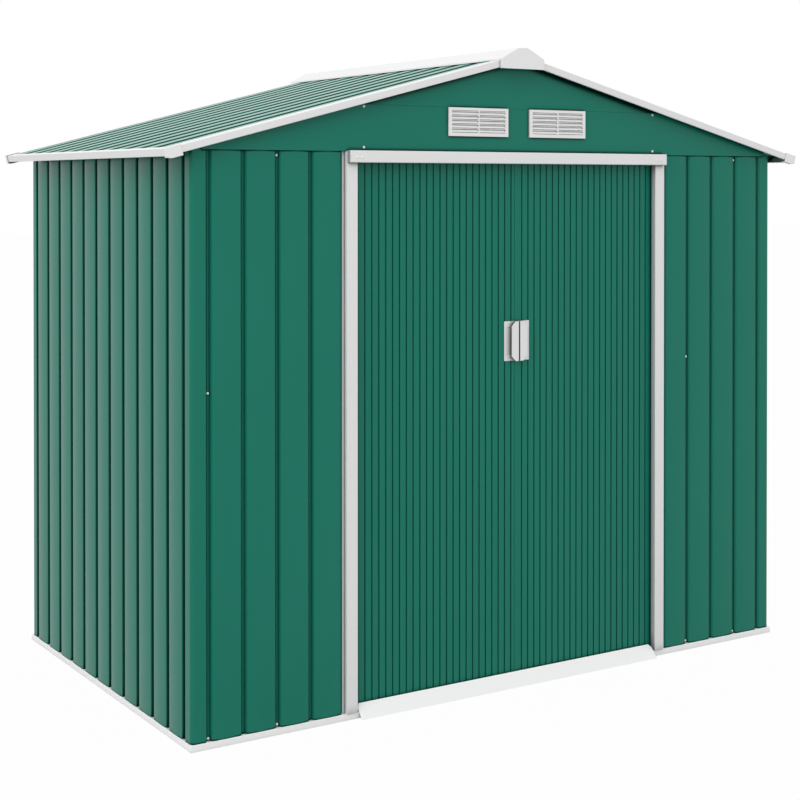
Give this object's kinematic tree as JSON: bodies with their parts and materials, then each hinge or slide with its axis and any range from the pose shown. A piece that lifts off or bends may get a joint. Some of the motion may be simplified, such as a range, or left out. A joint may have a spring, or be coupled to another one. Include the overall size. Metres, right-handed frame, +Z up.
{
  "type": "metal storage shed",
  "caption": "Ribbed sheet-steel storage shed with a low gable roof, a pair of sliding doors, louvred gable vents and white trims.",
  "frame": {"origin": "on the ground, under the middle of the roof's outline", "axes": "+Z up; +X along the door side, to the right as seen from outside; +Y from the doors to the back"},
  "size_m": [2.2156, 1.2612, 1.8439],
  "materials": {
    "green_sheet": "satin",
    "white_sheet": "satin",
    "galvanised_steel": "satin",
    "white_plastic": "satin",
    "runner_plastic": "satin"
  },
  "bodies": {
    "shed": {"back_gable": "green_sheet", "back_vent_left": "white_plastic", "back_vent_right": "white_plastic", "back_wall": "green_sheet", "base_rail_back": "white_sheet", "base_rail_front": "white_sheet", "base_rail_left": "white_sheet", "base_rail_right": "white_sheet", "door_guide_rail": "galvanised_steel", "door_header": "white_sheet", "door_ramp": "white_sheet", "door_track": "galvanised_steel", "eave_cap_back_left": "white_plastic", "eave_cap_back_right": "white_plastic", "eave_cap_front_left": "white_plastic", "eave_cap_front_right": "white_plastic", "eave_trim_left": "white_sheet", "eave_trim_right": "white_sheet", "front_gable": "green_sheet", "front_vent_left": "white_plastic", "front_vent_right": "white_plastic", "front_wall_left": "green_sheet", "front_wall_right": "green_sheet", "jamb_left": "white_sheet", "jamb_right": "white_sheet", "left_wall": "green_sheet", "ridge_beam": "galvanised_steel", "ridge_cap": "white_sheet", "ridge_end_back": "white_plastic", "ridge_end_front": "white_plastic", "right_wall": "green_sheet", "roof_left": "green_sheet", "roof_right": "green_sheet", "verge_back_left": "white_sheet", "verge_back_right": "white_sheet", "verge_front_left": "white_sheet", "verge_front_right": "white_sheet", "wall_plate_back": "galvanised_steel", "wall_plate_left": "galvanised_steel", "wall_plate_right": "galvanised_steel"},
    "left_door": {"door_left": "green_sheet", "handle_left": "white_sheet", "door_left_runners": "runner_plastic"},
    "right_door": {"door_right": "green_sheet", "handle_right": "white_sheet", "door_right_runners": "runner_plastic"}
  },
  "joints": [
    {"name": "left_door_slide", "type": "slide", "parent": "shed", "child": "left_door", "axis": [-1, 0, 0], "range_m": [0, 0.44]},
    {"name": "right_door_slide", "type": "slide", "parent": "shed", "child": "right_door", "axis": [1, 0, 0], "range_m": [0, 0.44]}
  ]
}
